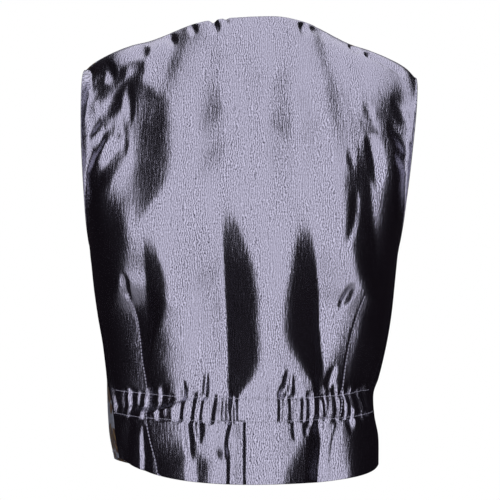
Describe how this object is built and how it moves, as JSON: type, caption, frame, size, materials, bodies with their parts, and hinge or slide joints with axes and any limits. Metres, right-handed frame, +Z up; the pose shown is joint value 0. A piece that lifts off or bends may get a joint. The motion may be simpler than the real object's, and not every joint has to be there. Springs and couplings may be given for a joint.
{
  "type": "suit waistcoat",
  "caption": "Suit waistcoat as worn but empty: satin back with waist darts and an elastic gathered waist, patterned buttoned fronts with a V neck and pointed hem.",
  "frame": {"origin": "midway between the neck ends of the two shoulder seams, where the wearer's shoulders carry the garment", "axes": "+Z up, the wearer faces -Y, the wearer's left is +X"},
  "size_m": [0.396, 0.2436, 0.5591],
  "materials": {
    "satin": "glossy dark plum-grey satin with a fine slub",
    "brocade": "matt patterned cloth, browns on grey-blue",
    "button": "polished dark brown resin"
  },
  "bodies": {
    "root": {"back": "satin", "front_left": "brocade", "front_right": "brocade", "button_1": "button", "button_2": "button", "button_3": "button", "button_4": "button", "button_5": "button"}
  },
  "joints": []
}
